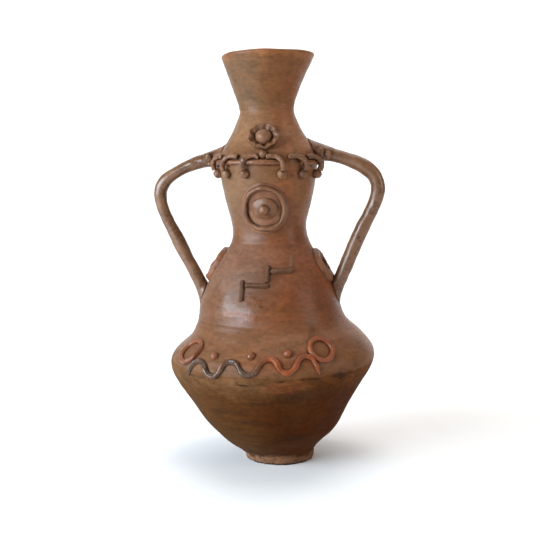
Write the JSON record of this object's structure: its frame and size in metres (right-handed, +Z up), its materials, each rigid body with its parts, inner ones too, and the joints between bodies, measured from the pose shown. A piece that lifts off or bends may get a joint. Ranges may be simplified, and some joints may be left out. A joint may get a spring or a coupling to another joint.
{
  "type": "amphora",
  "caption": "Hand-built burnished earthenware amphora with a funnel mouth, coiled handles and applied coil, pellet and medallion ornament.",
  "frame": {"origin": "on the rest plane, midway between the outer sides of the two handles", "axes": "+Z up, -Y the decorated front, +X the right-hand handle as seen from the front"},
  "size_m": [0.2589, 0.2333, 0.452],
  "materials": {
    "burnished_clay": "burnished earthenware, satin with a soft sheen",
    "smoked_clay": "burnished earthenware, darkened by the fire",
    "handle_clay": "burnished earthenware coil",
    "ornament_clay": "earthenware, hand pressed",
    "orange_clay": "earthenware, worn orange",
    "grey_clay": "earthenware, grey slip"
  },
  "bodies": {
    "root": {"belly_dome": "burnished_clay", "collar": "burnished_clay", "collar_cord": "orange_clay", "collar_hooks_back": "ornament_clay", "collar_hooks_front": "ornament_clay", "collar_pellet_back": "ornament_clay", "collar_pellet_front": "ornament_clay", "flower_ball_back": "ornament_clay", "flower_ball_front": "ornament_clay", "flower_cup_back": "ornament_clay", "flower_cup_front": "ornament_clay", "foot_ring": "smoked_clay", "handle_left": "handle_clay", "handle_pellets_left": "ornament_clay", "handle_pellets_right": "ornament_clay", "handle_right": "handle_clay", "hook_balls_back": "ornament_clay", "hook_balls_front": "ornament_clay", "lower_bowl": "smoked_clay", "medallion_mound_back": "ornament_clay", "medallion_mound_front": "ornament_clay", "medallion_pad_back": "ornament_clay", "medallion_pad_front": "ornament_clay", "medallion_ring_back": "ornament_clay", "medallion_ring_front": "ornament_clay", "medallion_stud_back": "ornament_clay", "medallion_stud_front": "ornament_clay", "mouth_funnel": "burnished_clay", "neck": "burnished_clay", "shoulder": "burnished_clay", "side_ring_left": "ornament_clay", "side_ring_right": "ornament_clay", "step_rolls_back": "grey_clay", "step_rolls_front": "grey_clay", "wave_coil_back": "orange_clay", "wave_coil_front": "orange_clay", "wave_loops_back": "orange_clay", "wave_loops_front": "orange_clay", "wave_pellets_back": "orange_clay", "wave_pellets_front": "orange_clay"}
  },
  "joints": []
}
